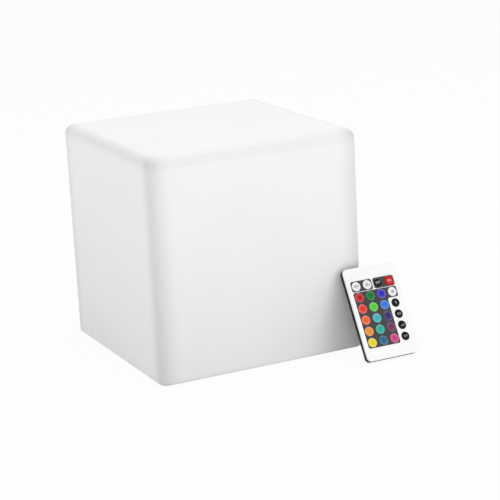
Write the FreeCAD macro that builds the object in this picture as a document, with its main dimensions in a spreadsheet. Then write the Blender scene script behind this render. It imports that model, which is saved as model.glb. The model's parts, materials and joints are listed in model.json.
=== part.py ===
import FreeCAD, Part
import math
import os
import re
import Sketcher

# A glowing cube garden light with its key-pad remote control, in millimetres.
# The origin is the middle of the cube's resting face, +Z is up and -Y is the front.
# The remote leans against the front face, with its lower short edge on the ground.

V = FreeCAD.Vector
Z_AXIS = V(0, 0, 1)
doc = FreeCAD.newDocument("led_cube_light")
sheet = doc.addObject("Spreadsheet::Sheet", "Sizes")

# ---------------------------------------------------------------- driving sizes

SIZES = (
    # moulded cube
    ("cube_side", 200),
    ("shell_wall", 3),
    ("edge_round", 8),
    ("foot_round", 3),
    ("inner_round", 5),
    ("recess_depth", 9),
    ("flange_thick", 3),
    ("recess_land", 1.5),
    ("boss_land", 1.5),
    ("boss_across", 9),
    ("boss_height", 8),
    ("boss_count", 6),
    ("insert_across", 5),
    ("insert_long", 8),
    ("insert_spare", 1),
    # base cover and its seal
    ("gasket_thick", 1.5),
    ("cover_thick", 3),
    ("cover_gap", 1),
    ("cup_room", 18.7),
    ("cup_clear", 3),
    ("cup_wall", 2.2),
    ("cup_deep", 32.5),
    ("rim_gap", 1),
    ("rim_thick", 2),
    ("post_sink", 0.2),
    ("post_across", 9),
    ("post_count", 4),
    # screws
    ("screw_across", 3),
    ("screw_head", 5.6),
    ("screw_head_tall", 2),
    ("screw_bite", 6),
    ("lens_screw_bite", 12),
    ("bore_gap", 0.1),
    ("hole_gap", 0.2),
    ("cross_wide", 0.7),
    ("cross_deep", 0.8),
    ("cross_land", 1.008),
    ("head_shoulder", 1.2),
    ("head_bevel", 0.8),
    # lens and lamp board
    ("seal_thick", 1),
    ("seal_wide", 3.8),
    ("lens_wall", 2),
    ("dome_land", 2.7),
    ("dome_rise", 16),
    ("lamp_board_thick", 1.6),
    ("board_gap", 0.3),
    ("chip_wide", 5),
    ("chip_tall", 1.4),
    ("chip_land", 10),
    ("outer_chip_count", 8),
    ("inner_chip_ring", 30),
    ("inner_chip_count", 4),
    ("receiver_wide", 5.6),
    ("receiver_deep", 4.6),
    ("receiver_tall", 2.2),
    ("receiver_eye", 3.6),
    # cells
    ("cell_across", 18.4),
    ("cell_long", 65.2),
    ("cell_space", 0.4),
    ("cell_nub", 0.8),
    ("cell_nub_across", 6.4),
    ("cells_clear", 1.7),
    ("cell_gap", 0.1),
    ("clamp_thick", 2),
    ("clamp_wide", 28),
    ("clamp_post", 5.6),
    ("clamp_gap", 0.4),
    # control board, push button and charging socket
    ("control_wide", 42),
    ("control_deep", 25),
    ("control_x", -11),
    ("control_y", -23.5),
    ("control_thick", 1.6),
    ("standoff_tall", 6),
    ("standoff_across", 6),
    ("standoff_inset", 4),
    ("main_chip_side", 8),
    ("main_chip_x", 9),
    ("main_chip_y", 1.5),
    ("side_chip_wide", 5),
    ("side_chip_deep", 6),
    ("side_chip_x", 2),
    ("side_chip_y", 3),
    ("small_chip_tall", 1.3),
    ("capacitor_x", 9),
    ("capacitor_y", 7),
    ("capacitor_across", 6),
    ("capacitor_tall", 8),
    ("button_x", -14),
    ("button_y", -23),
    ("button_across", 12),
    ("button_proud", 1.7),
    ("button_bevel", 0.8),
    ("button_lip", 1.5),
    ("button_lip_thick", 1.5),
    ("button_travel", 0.8),
    ("switch_wide", 6),
    ("switch_tall", 3.5),
    ("plunger_across", 3.5),
    ("plunger_hold", 0.2),
    ("socket_x", 24),
    ("socket_y", -22),
    ("socket_across", 11),
    ("socket_flange", 13),
    ("socket_flange_thick", 1),
    ("socket_tall", 12.5),
    ("socket_bore", 5.5),
    ("socket_bore_deep", 8.5),
    ("socket_pin", 2),
    ("thread_over", 1),
    ("thread_step", 0.5),
    ("nut_flats", 14),
    ("nut_thick", 2.5),
    ("flap_across", 15),
    ("flap_thick", 1.6),
    ("flap_gap", 0.3),
    ("flap_reach", 11),
    ("flap_plug", 5),
    ("flap_plug_tall", 1.2),
    ("barrel_across", 2.8),
    ("barrel_long", 6),
    ("pin_across", 1.4),
    ("lug_wide", 2),
    ("lug_gap", 0.3),
    ("lead_across", 1.6),
    ("lead_bend", 2),
    ("lead_inset", 3),
    ("cell_lead_low", 2),
    ("cell_lead_high", 5),
    ("cell_lead_far", 5),
    ("cell_lead_near", 2.8),
    ("far_landing", 11),
    ("near_landing", 7),
    ("lamp_lead_pitch", 3),
    ("lamp_lead_first", 1),
    ("lamp_lead_rise", 7),
    ("lamp_lead_back", 5),
    ("lamp_lead_drop", 9),
    ("left_lead_x", 1.5),
    ("left_lead_y", 1.5),
    ("left_lead_rise", 6),
    ("right_lead_x", 1),
    ("right_lead_y", 2),
    ("right_lead_rise", 9),
    ("socket_lead_inset", 5),
    # remote control
    ("remote_wide", 52),
    ("remote_long", 85),
    ("remote_corner", 4),
    ("remote_edge", 1),
    ("front_edge", 0.6),
    ("remote_lap", 24),
    ("remote_lean", 30),
    ("lean_gap", 0.1),
    ("tub_tall", 5),
    ("tub_wall", 1.2),
    ("tub_floor", 1),
    ("front_thick", 1),
    ("front_rim", 0.6),
    ("front_rim_tall", 1),
    ("clip_gap", 0.1),
    ("clip_tall", 0.8),
    ("pillar_across", 4),
    ("pillar_gap", 2),
    ("circuit_thick", 0.8),
    ("circuit_gap", 0.3),
    ("dome_contact", 4.6),
    ("dome_contact_thick", 0.25),
    ("mat_inset", 2),
    ("mat_thick", 1.2),
    ("key_first_x", 8.8),
    ("key_first_y", 17),
    ("key_pitch_x", 11.2),
    ("key_pitch_y", 10.4),
    ("key_across", 8.3),
    ("dark_key_across", 7.8),
    ("key_lip", 0.35),
    ("key_lip_thick", 0.35),
    ("key_proud", 0.9),
    ("key_edge", 0.5),
    ("square_corner", 1.8),
    ("panel_thick", 0.2),
    ("panel_margin", 4.9),
    ("panel_corner", 2),
    ("tray_wide", 24),
    ("tray_long", 24),
    ("tray_skin", 0.3),
    ("coin_across", 20),
    ("coin_thick", 2.5),
    ("coin_gap", 0.1),
    ("rail_wide", 1.2),
    ("emitter_across", 2.8),
    ("emitter_long", 6),
)
for line, (alias, number) in enumerate(SIZES, 1):
    sheet.set(f"A{line}", alias)
    sheet.set(f"B{line}", str(number))
    sheet.setAlias(f"B{line}", alias)
doc.recompute()
ALIASES = {alias for alias, number in SIZES}

# ------------------------------------------------- levels worked out from the sizes

FLANGE_TOP = "(recess_depth + flange_thick)"
COVER_TOP = "(recess_depth - gasket_thick)"
COVER_LOW = f"({COVER_TOP} - cover_thick)"
CUP_TOP = f"({COVER_TOP} + cup_deep)"
LAMP_LOW = f"({CUP_TOP} - lamp_board_thick)"
LENS_LOW = f"({CUP_TOP} + seal_thick)"
LENS_TOP = f"({LENS_LOW} + lens_wall)"
CONTROL_LOW = f"({COVER_TOP} + standoff_tall)"
CONTROL_TOP = f"({CONTROL_LOW} + control_thick)"
CELL_PITCH = "(cell_across + cell_space)"
CELL_Z = f"({COVER_TOP} + cell_gap + cell_across / 2)"
CLAMP_LOW = f"({COVER_TOP} + 2 * cell_gap + cell_across)"
CLAMP_REACH = f"({CELL_PITCH} / 2 + cell_across / 2 + clamp_gap + clamp_post / 2)"
BOARD_REAR = "(control_y + control_deep / 2)"
CELLS_Y = f"({BOARD_REAR} + cells_clear + {CLAMP_REACH} + clamp_post / 2)"
SWITCH_LOW = f"({CONTROL_LOW} - switch_tall)"
BUTTON_TOP = f"({COVER_TOP} + button_lip_thick)"
SOCKET_LOW = f"({COVER_LOW} - socket_flange_thick)"
SOCKET_TOP = f"({COVER_LOW} + socket_tall)"
FLAP_TOP = f"({SOCKET_LOW} - flap_gap)"
FLAP_LOW = f"({FLAP_TOP} - flap_thick)"
FLAP_AXIS_Y = "(socket_y - flap_reach)"
FLAP_AXIS_Z = f"(({FLAP_LOW} + {FLAP_TOP}) / 2)"
# the cup holds the board and both cells, and each round piece outside it follows it
CUP_BORE = "(control_deep + 2 * cell_across + cell_space + 2 * cup_room)"
MOUTH_ACROSS = f"({CUP_BORE} + 2 * cup_wall + 2 * cup_clear)"
BOSS_RING = f"({MOUTH_ACROSS} + boss_across + 2 * boss_land)"
RECESS_ACROSS = f"({BOSS_RING} + boss_across + 2 * recess_land)"
COVER_EDGE = f"({RECESS_ACROSS} / 2 - cover_gap)"
RIM_ACROSS = f"({MOUTH_ACROSS} - 2 * rim_gap)"
POST_RING = f"({CUP_BORE} - post_across + 2 * post_sink)"
DOME_ACROSS = f"({POST_RING} - screw_head - 2 * dome_land)"
OUTER_CHIP_RING = f"({DOME_ACROSS} - 2 * chip_land)"
SCREW_HOLE = "(screw_across / 2 + hole_gap)"
PILOT = "(screw_across / 2 + bore_gap)"

REMOTE_LEFT = "(cube_side / 2 - remote_lap)"
PLATE_LOW = "(tub_tall + front_rim_tall)"
PLATE_TOP = f"({PLATE_LOW} + front_thick)"
CIRCUIT_TOP = f"({PLATE_LOW} - mat_thick)"
CIRCUIT_LOW = f"({CIRCUIT_TOP} - circuit_thick)"
KEY_LOW = f"({PLATE_LOW} - key_lip_thick)"
KEY_TOP = f"({PLATE_TOP} + key_proud)"
TRAY_LOW = "(tub_floor + coin_gap)"
TRAY_TOP = f"({CIRCUIT_LOW} - coin_gap)"
TRAY_MIDDLE = "(remote_wide / 2)"
EMITTER_Z = f"((tub_floor + {CIRCUIT_LOW}) / 2)"
RAIL_END = "(tray_long + hole_gap + rail_wide)"

# ---------------------------------------------------------------- drawing helpers


def linked(text):
    """An expression on the sheet's names, as another object has to write it."""
    return re.sub(r"[a-z_]+", lambda w: f"Sizes.{w[0]}" if w[0] in ALIASES else w[0], text)


def size(text):
    """The value of an expression on the sheet's names."""
    return float(sheet.evalExpression(text))


def bind(item, **texts):
    """Bind properties of an item to expressions on the sheet."""
    for name, text in texts.items():
        item.setExpression(name.replace("__", "."), linked(text))


def move(item, x="0", y="0", z="0"):
    bind(item, Placement__Base__x=x, Placement__Base__y=y, Placement__Base__z=z)
    return item


def new_body(label):
    body = doc.addObject("PartDesign::Body", label)
    body.Label = label
    body.AllowCompound = True
    return body


def origin(body, role):
    return next(f for f in body.Origin.OriginFeatures if f.Role == role)


def sketch(body, plane, x="0", y="0", z="0"):
    """A sketch on one of the body's own planes, moved by x, y and z in the sketch's frame."""
    lines = body.newObject("Sketcher::SketchObject", body.Label + "_sketch")
    lines.AttachmentSupport = [(origin(body, plane), "")]
    lines.MapMode = "FlatFace"
    for axis, text in zip("xyz", (x, y, z)):
        if text != "0":
            lines.setExpression(f"AttachmentOffset.Base.{axis}", linked(text))
    return lines


def pin_point(lines, geometry, vertex, x, y):
    """Hold one point of a sketch at x, y."""
    for kind, axis, text in (("DistanceX", -2, x), ("DistanceY", -1, y)):
        if text == "0":
            lines.addConstraint(Sketcher.Constraint("PointOnObject", geometry, vertex, axis))
            continue
        rule = Sketcher.Constraint(kind, -1, 1, geometry, vertex, size(text))
        lines.setExpression(f"Constraints[{lines.addConstraint(rule)}]", linked(text))


def closed(lines, points):
    """A closed outline of straight lines through points of two expressions each."""
    at = [V(size(x), size(y), 0) for x, y in points]
    ends = at[1:] + at[:1]
    edges = [lines.addGeometry(Part.LineSegment(a, b), False) for a, b in zip(at, ends)]
    for edge, after in zip(edges, edges[1:] + edges[:1]):
        lines.addConstraint(Sketcher.Constraint("Coincident", edge, 2, after, 1))
    for edge, (x, y) in zip(edges, points):
        pin_point(lines, edge, 1, x, y)


def circle(lines, radius, x="0", y="0"):
    round_line = Part.Circle(V(size(x), size(y), 0), Z_AXIS, size(radius))
    ring = lines.addGeometry(round_line, False)
    if x == "0" and y == "0":
        lines.addConstraint(Sketcher.Constraint("Coincident", ring, 3, -1, 1))
    else:
        pin_point(lines, ring, 3, x, y)
    rule = lines.addConstraint(Sketcher.Constraint("Radius", ring, size(radius)))
    lines.setExpression(f"Constraints[{rule}]", linked(radius))


def rectangle(lines, x_low, x_high, y_low, y_high):
    closed(lines, [(x_low, y_low), (x_high, y_low), (x_high, y_high), (x_low, y_high)])


def rounded(lines, x_low, x_high, y_low, y_high, corner):
    """A rectangle with round corners: four arcs joined by four tangent lines."""
    left, right, low, high = (size(text) for text in (x_low, x_high, y_low, y_high))
    bow = size(corner)
    centres = ((right - bow, low + bow), (right - bow, high - bow),
               (left + bow, high - bow), (left + bow, low + bow))
    arcs = []
    for quarter, (x, y) in enumerate(centres):
        rim = Part.Circle(V(x, y, 0), Z_AXIS, bow)
        start = math.radians((quarter - 1) * 90)
        arc = Part.ArcOfCircle(rim, start, start + math.radians(90))
        arcs.append(lines.addGeometry(arc, False))
    for quarter, arc in enumerate(arcs):
        after = arcs[(quarter + 1) % 4]
        a, b = lines.getPoint(arc, 2), lines.getPoint(after, 1)
        side = lines.addGeometry(Part.LineSegment(a, b), False)
        lines.addConstraint(Sketcher.Constraint("Tangent", arc, 2, side, 1))
        lines.addConstraint(Sketcher.Constraint("Tangent", side, 2, after, 1))
        upright = "Vertical" if quarter % 2 == 0 else "Horizontal"
        lines.addConstraint(Sketcher.Constraint(upright, side))
    for after in arcs[1:]:
        lines.addConstraint(Sketcher.Constraint("Equal", arcs[0], after))
    rule = lines.addConstraint(Sketcher.Constraint("Radius", arcs[0], bow))
    lines.setExpression(f"Constraints[{rule}]", linked(corner))
    pin_point(lines, arcs[0], 3, f"{x_high} - {corner}", f"{y_low} + {corner}")
    pin_point(lines, arcs[2], 3, f"{x_low} + {corner}", f"{y_high} - {corner}")


def feature(body, kind, profile, **settings):
    item = body.newObject("PartDesign::" + kind, body.Label + "_" + kind.lower())
    item.Profile = profile
    for name, value in settings.items():
        setattr(item, name, value)
    return item


def pad(body, profile, height, **settings):
    item = feature(body, "Pad", profile, **settings)
    bind(item, Length=height)
    return item


def pocket(body, profile, depth, along_normal=True):
    """A cut that runs along the sketch's normal, or against it."""
    item = feature(body, "Pocket", profile, Reversed=along_normal)
    bind(item, Length=depth)
    return item


def turn(body, profile, kind="Revolution"):
    return feature(body, kind, profile, ReferenceAxis=(profile, ["V_Axis"]), Angle=360)


def repeat(body, features, count):
    """Copies of features round the Z axis, as many as the named size says."""
    item = body.newObject("PartDesign::PolarPattern", body.Label + "_copies")
    item.Originals = features
    item.Axis = (origin(body, "Z_Axis"), [""])
    item.Angle = 360
    bind(item, Occurrences=count)
    body.Tip = item
    return item


def round_edges(body, radius, chosen):
    """A fillet on the edges of the body's last feature that the test picks."""
    doc.recompute()
    base = body.Tip
    names = [f"Edge{i}" for i, edge in enumerate(base.Shape.Edges, 1) if chosen(edge)]
    item = body.newObject("PartDesign::Fillet", body.Label + "_fillet")
    item.Base = (base, names)
    bind(item, Radius=radius)
    return item


def level_edge(text):
    """Picks edges that lie flat at a level."""
    level = size(text)

    def chosen(edge):
        box = edge.BoundBox
        return box.ZLength < 1e-6 and abs(box.ZMin - level) < 1e-6
    return chosen


def upright_edge(edge):
    """Picks straight edges along Z."""
    box = edge.BoundBox
    return box.ZLength > 1e-6 and box.XLength < 1e-6 and box.YLength < 1e-6


def turned(label, outline, x="0", y="0", ring="0"):
    """A round piece: radius and height pairs turned about an upright axis."""
    body = new_body(label)
    lines = sketch(body, "XZ_Plane", x=ring)
    closed(lines, outline)
    turn(body, lines)
    if (x, y) != ("0", "0"):
        move(body, x, y)
    return body


def cylinder(label, radius, low, height):
    item = doc.addObject("Part::Cylinder", label)
    bind(item, Radius=radius, Height=height, Placement__Base__z=low)
    return item


def sphere(label, radius, middle):
    item = doc.addObject("Part::Sphere", label)
    bind(item, Radius=radius, Placement__Base__z=middle)
    return item


def combine(kind, label, first, *others):
    """A boolean: Cut takes the others away, Fuse and Common join them with the first."""
    if kind == "Cut" and len(others) == 1:
        item = doc.addObject("Part::Cut", label)
        item.Base, item.Tool = first, others[0]
    else:
        item = doc.addObject("Part::Multi" + kind, label)
        item.Shapes = [first, *others]
    return item


def cross_recess(body, top, depth_upward, x="0", y="0"):
    """The cross that a screwdriver turns, cut into a head from the level named top."""
    lines = sketch(body, "XY_Plane", x=x, y=y, z=top)
    arm, half = "(screw_head / 2 - cross_land)", "(cross_wide / 2)"
    closed(lines, [(half, half), (arm, half), (arm, f"-{half}"), (half, f"-{half}"),
                   (half, f"-{arm}"), (f"-{half}", f"-{arm}"), (f"-{half}", f"-{half}"),
                   (f"-{arm}", f"-{half}"), (f"-{arm}", half), (f"-{half}", half),
                   (f"-{half}", arm), (half, arm)])
    return pocket(body, lines, "cross_deep", depth_upward)


def pan_screw_outline(seat):
    """Radius and height pairs of a screw whose flat head stands on a seat."""
    return [("0", f"{seat} - screw_bite"), ("screw_across / 2", f"{seat} - screw_bite"),
            ("screw_across / 2", seat), ("screw_head / 2", seat),
            ("screw_head / 2", f"{seat} + head_shoulder"),
            ("screw_head / 2 - head_bevel", f"{seat} + screw_head_tall"),
            ("0", f"{seat} + screw_head_tall")]


def pan_screws(label, seat, places):
    """Loose screws at a few places, as one group of separate solids."""
    body = new_body(label)
    for x, y in places:
        lines = sketch(body, "XZ_Plane", x=x, z=f"-({y})")
        closed(lines, pan_screw_outline(seat))
        turn(body, lines)
        cross_recess(body, f"{seat} + screw_head_tall", False, x, y)
    return body


def lead(points):
    """One wire: straight runs through the points, joined by arcs of the lead's own bend."""
    corners = [V(*(size(text) for text in point)) for point in points]
    bend, radius = size("lead_bend"), size("lead_across / 2")
    edges, at = [], corners[0]
    for before, corner, after in zip(corners, corners[1:], corners[2:]):
        into, out = (corner - before).normalize(), (after - corner).normalize()
        half_turn = into.getAngle(out) / 2
        tangent = bend * math.tan(half_turn)
        start, stop = corner - into * tangent, corner + out * tangent
        middle = corner + (out - into).normalize() * (bend / math.cos(half_turn) - bend)
        edges.append(Part.LineSegment(at, start).toShape())
        edges.append(Part.Arc(start, middle, stop).toShape())
        at = stop
    edges.append(Part.LineSegment(at, corners[-1]).toShape())
    path = Part.Wire(edges)
    ring = Part.Wire(Part.Circle(corners[0], corners[1] - corners[0], radius).toShape())
    tube = path.makePipeShell([ring], True, False)
    wanted = path.Length * math.pi * radius ** 2
    if abs(tube.Volume / wanted - 1) > 0.02:
        raise ValueError(f"a lead holds {tube.Volume:.1f} in place of {wanted:.1f} cubic mm")
    return tube


def leads(label, *routes):
    item = doc.addObject("Part::Feature", label)
    item.Shape = Part.makeCompound([lead(route) for route in routes])
    return item


# ---------------------------------------------------------------- the moulded cube


def cube_block(label, low, side, height, upper, lower):
    """A square block standing at a level, with round upright and upper edges."""
    body = new_body(label)
    lines = sketch(body, "XY_Plane", z=low)
    rectangle(lines, f"-{side} / 2", f"{side} / 2", f"-{side} / 2", f"{side} / 2")
    pad(body, lines, height)
    ground = level_edge(low)
    round_edges(body, upper, lambda edge: not ground(edge))
    round_edges(body, lower, ground)
    return body


def cube_shell():
    outside = cube_block("shell_outside", "0", "cube_side", "cube_side",
                         "edge_round", "foot_round")
    inner_side = "(cube_side - 2 * shell_wall)"
    inside = cube_block("shell_inside", "shell_wall", inner_side, inner_side,
                        "inner_round", "inner_round")
    hollow = combine("Cut", "shell_hollow", outside, inside)
    collar = cylinder("collar", f"{RECESS_ACROSS} / 2 + shell_wall", "0", FLANGE_TOP)
    bosses = new_body("insert_bosses")
    lines = sketch(bosses, "XY_Plane", x=f"{BOSS_RING} / 2", z="recess_depth")
    circle(lines, "boss_across / 2")
    repeat(bosses, [pad(bosses, lines, "flange_thick + boss_height")], "boss_count")
    solid = combine("Fuse", "shell_with_collar", hollow, collar, bosses)
    recess = cylinder("recess", f"{RECESS_ACROSS} / 2", "-1", "recess_depth + 1")
    mouth = cylinder("mouth", f"{MOUTH_ACROSS} / 2", "recess_depth - 1", "flange_thick + 2")
    bores = new_body("insert_bores")
    lines = sketch(bores, "XY_Plane", x=f"{BOSS_RING} / 2", z="recess_depth - 1")
    circle(lines, "insert_across / 2")
    repeat(bores, [pad(bores, lines, "insert_long + insert_spare + 1")], "boss_count")
    openings = combine("Fuse", "shell_openings", recess, mouth, bores)
    return combine("Cut", "cube_shell", solid, openings)


def shell_inserts():
    body = new_body("shell_inserts")
    lines = sketch(body, "XY_Plane", x=f"{BOSS_RING} / 2", z="recess_depth")
    circle(lines, "insert_across / 2")
    circle(lines, PILOT)
    repeat(body, [pad(body, lines, "insert_long")], "boss_count")
    return body


def base_gasket():
    body = new_body("base_gasket")
    lines = sketch(body, "XY_Plane", z=COVER_TOP)
    circle(lines, COVER_EDGE)
    circle(lines, f"{MOUTH_ACROSS} / 2")
    pad(body, lines, "gasket_thick")
    lines = sketch(body, "XY_Plane", x=f"{BOSS_RING} / 2", z=COVER_TOP)
    circle(lines, SCREW_HOLE)
    repeat(body, [pocket(body, lines, "gasket_thick")], "boss_count")
    return body


# ---------------------------------------------------------------- base cover


def base_cover():
    body = new_body("base_cover")
    cup, cup_out, rim = f"{CUP_BORE} / 2", f"({CUP_BORE} / 2 + cup_wall)", f"{RIM_ACROSS} / 2"
    rim_low = f"{CUP_TOP} - rim_thick"
    lines = sketch(body, "XZ_Plane")
    closed(lines, [("0", COVER_LOW), (COVER_EDGE, COVER_LOW), (COVER_EDGE, COVER_TOP),
                   (cup_out, COVER_TOP), (cup_out, rim_low), (rim, rim_low), (rim, CUP_TOP),
                   (cup, CUP_TOP), (cup, COVER_TOP), ("0", COVER_TOP)])
    turn(body, lines)
    # posts that carry the lamp board and take the lens screws
    lines = sketch(body, "XY_Plane", x=f"{POST_RING} / 2", z=COVER_TOP)
    circle(lines, "post_across / 2")
    post = pad(body, lines, f"{LAMP_LOW} - {COVER_TOP}")
    lines = sketch(body, "XY_Plane", x=f"{POST_RING} / 2", z=f"{LENS_TOP} - lens_screw_bite - 1")
    circle(lines, PILOT)
    bore = pocket(body, lines, f"{LAMP_LOW} - {LENS_TOP} + lens_screw_bite + 1")
    repeat(body, [post, bore], "post_count")
    # countersunk holes for the six cover screws
    lines = sketch(body, "XZ_Plane", x=f"{BOSS_RING} / 2")
    closed(lines, [("0", COVER_LOW), ("screw_head / 2 + hole_gap", COVER_LOW),
                   (SCREW_HOLE, f"{COVER_LOW} + screw_head / 2 - screw_across / 2"),
                   (SCREW_HOLE, COVER_TOP), ("0", COVER_TOP)])
    repeat(body, [turn(body, lines, "Groove")], "boss_count")
    # standoffs for the control board, posts for the battery clamp, lugs for the flap
    lines = sketch(body, "XY_Plane", z=COVER_TOP)
    for x, y in control_corners():
        circle(lines, "standoff_across / 2", x, y)
    pad(body, lines, "standoff_tall")
    lines = sketch(body, "XY_Plane", z=f"{COVER_TOP} - 1")
    for x, y in control_corners():
        circle(lines, PILOT, x, y)
    pocket(body, lines, "standoff_tall + 1")
    lines = sketch(body, "XY_Plane", z=COVER_TOP)
    for x, y in clamp_places():
        circle(lines, "clamp_post / 2", x, y)
    pad(body, lines, f"{CLAMP_LOW} - {COVER_TOP}")
    lines = sketch(body, "XY_Plane", z=f"{CLAMP_LOW} - screw_bite - 1")
    for x, y in clamp_places():
        circle(lines, PILOT, x, y)
    pocket(body, lines, "screw_bite + 1")
    lines = sketch(body, "XY_Plane", z=COVER_LOW)
    circle(lines, "button_across / 2 + bore_gap", "button_x", "button_y")
    circle(lines, "socket_across / 2 + bore_gap", "socket_x", "socket_y")
    pocket(body, lines, "cover_thick")
    low, high = f"{FLAP_AXIS_Z} - barrel_across / 2", COVER_LOW
    for side in ("-1", "1"):
        near = f"socket_x + {side} * (barrel_long / 2 + lug_gap)"
        far = f"socket_x + {side} * (barrel_long / 2 + lug_gap + lug_wide)"
        lines = sketch(body, "XY_Plane", z=low)
        rectangle(lines, *sorted((near, far), key=size), f"{FLAP_AXIS_Y} - barrel_across / 2",
                  f"{FLAP_AXIS_Y} + barrel_across / 2")
        pad(body, lines, f"{high} - ({low})")
    lines = sketch(body, "YZ_Plane", z="socket_x - barrel_long / 2 - lug_gap - lug_wide")
    circle(lines, "pin_across / 2", FLAP_AXIS_Y, FLAP_AXIS_Z)
    pocket(body, lines, "barrel_long + 2 * (lug_gap + lug_wide)")
    return body


def control_corners():
    """Where the four screws of the control board stand."""
    half_wide = "(control_wide / 2 - standoff_inset)"
    half_deep = "(control_deep / 2 - standoff_inset)"
    return [(f"control_x {a} {half_wide}", f"control_y {b} {half_deep}")
            for a in "-+" for b in "-+"]


def clamp_places():
    """Where the two screws of the battery clamp stand, before and behind the cells."""
    return [("0", f"{CELLS_Y} - {CLAMP_REACH}"), ("0", f"{CELLS_Y} + {CLAMP_REACH}")]


def cover_screws():
    cone = "(screw_head / 2 - screw_across / 2)"
    body = new_body("cover_screws")
    lines = sketch(body, "XZ_Plane", x=f"{BOSS_RING} / 2")
    tip = "recess_depth + insert_long - 1"
    closed(lines, [("0", COVER_LOW), ("screw_head / 2", COVER_LOW),
                   ("screw_across / 2", f"{COVER_LOW} + {cone}"),
                   ("screw_across / 2", tip), ("0", tip)])
    screw = turn(body, lines)
    recess = cross_recess(body, COVER_LOW, True, f"{BOSS_RING} / 2")
    repeat(body, [screw, recess], "boss_count")
    return body


# ---------------------------------------------------------------- lens and lamp board


def lens_dome():
    """A clear cap: a slice of a thin ball on a flat flange."""
    half = f"({DOME_ACROSS} / 2)"
    ball = f"(({half} * {half} + dome_rise * dome_rise) / (2 * dome_rise))"
    middle = f"({LENS_TOP} + dome_rise - {ball})"
    flange = cylinder("lens_flange", f"{RIM_ACROSS} / 2", LENS_LOW, "lens_wall")
    column = cylinder("lens_column", half, LENS_LOW, "lens_wall + dome_rise + 1")
    cap = combine("Common", "lens_cap", sphere("lens_ball", ball, middle), column)
    well = cylinder("lens_well", half, LENS_LOW, "dome_rise + 1")
    inner = sphere("lens_inner_ball", f"{ball} - lens_wall", middle)
    hollow = combine("Common", "lens_hollow", inner, well)
    holes = new_body("lens_holes")
    lines = sketch(holes, "XY_Plane", x=f"{POST_RING} / 2", z=LENS_LOW)
    circle(lines, SCREW_HOLE)
    repeat(holes, [pad(holes, lines, "lens_wall")], "post_count")
    solid = combine("Fuse", "lens_solid", flange, cap)
    return combine("Cut", "lens_dome", solid, combine("Fuse", "lens_cuts", hollow, holes))


def dome_seal():
    body = new_body("dome_seal")
    lines = sketch(body, "XY_Plane", z=CUP_TOP)
    circle(lines, f"{RIM_ACROSS} / 2")
    circle(lines, f"{RIM_ACROSS} / 2 - seal_wide")
    pad(body, lines, "seal_thick")
    return body


def dome_screws():
    body = new_body("dome_screws")
    lines = sketch(body, "XZ_Plane", x=f"{POST_RING} / 2")
    outline = pan_screw_outline(LENS_TOP)
    tip = f"{LENS_TOP} - lens_screw_bite"
    closed(lines, [("0", tip), ("screw_across / 2", tip), *outline[2:]])
    screw = turn(body, lines)
    recess = cross_recess(body, f"{LENS_TOP} + screw_head_tall", False, f"{POST_RING} / 2")
    repeat(body, [screw, recess], "post_count")
    return body


def led_board():
    body = new_body("led_board")
    lines = sketch(body, "XY_Plane", z=LAMP_LOW)
    circle(lines, f"{CUP_BORE} / 2 - board_gap")
    pad(body, lines, "lamp_board_thick")
    lines = sketch(body, "XY_Plane", x=f"{POST_RING} / 2", z=LAMP_LOW)
    circle(lines, SCREW_HOLE)
    repeat(body, [pocket(body, lines, "lamp_board_thick")], "post_count")
    return body


def led_chips():
    body = new_body("led_chips")
    for ring, count in ((OUTER_CHIP_RING, "outer_chip_count"),
                        ("inner_chip_ring", "inner_chip_count")):
        lines = sketch(body, "XY_Plane", x=f"{ring} / 2", z=CUP_TOP)
        half = "chip_wide / 2"
        rectangle(lines, f"-{half}", half, f"-{half}", half)
        repeat(body, [pad(body, lines, "chip_tall")], count)
    return body


def ir_receiver():
    body = new_body("ir_receiver")
    lines = sketch(body, "XY_Plane", z=CUP_TOP)
    rectangle(lines, "-receiver_wide / 2", "receiver_wide / 2",
              "-receiver_deep / 2", "receiver_deep / 2")
    pad(body, lines, "receiver_tall")
    eye = sketch(body, "XY_Plane", z=f"{CUP_TOP} + receiver_tall")
    circle(eye, "receiver_eye / 2")
    pad(body, eye, "receiver_eye / 3")
    return body


# ---------------------------------------------------------------- cells and electronics


def battery_cells():
    body = new_body("battery_cells")
    lines = sketch(body, "YZ_Plane")
    nubs = sketch(body, "YZ_Plane")
    for side in "-+":
        circle(lines, "cell_across / 2", f"{CELLS_Y} {side} {CELL_PITCH} / 2", CELL_Z)
        circle(nubs, "cell_nub_across / 2", f"{CELLS_Y} {side} {CELL_PITCH} / 2", CELL_Z)
    pad(body, lines, "cell_long", Midplane=True)
    pad(body, nubs, "cell_long + 2 * cell_nub", Midplane=True)
    return body


def battery_clamp():
    body = new_body("battery_clamp")
    lines = sketch(body, "XY_Plane", z=CLAMP_LOW)
    reach = f"({CLAMP_REACH} + clamp_post / 2)"
    rounded(lines, "-clamp_wide / 2", "clamp_wide / 2", f"{CELLS_Y} - {reach}",
            f"{CELLS_Y} + {reach}", "clamp_post / 2")
    pad(body, lines, "clamp_thick")
    lines = sketch(body, "XY_Plane", z=CLAMP_LOW)
    for x, y in clamp_places():
        circle(lines, SCREW_HOLE, x, y)
    pocket(body, lines, "clamp_thick")
    return body


def control_board():
    body = new_body("control_board")
    lines = sketch(body, "XY_Plane", z=CONTROL_LOW)
    rectangle(lines, "control_x - control_wide / 2", "control_x + control_wide / 2",
              "control_y - control_deep / 2", "control_y + control_deep / 2")
    for x, y in control_corners():
        circle(lines, SCREW_HOLE, x, y)
    pad(body, lines, "control_thick")
    return body


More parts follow.
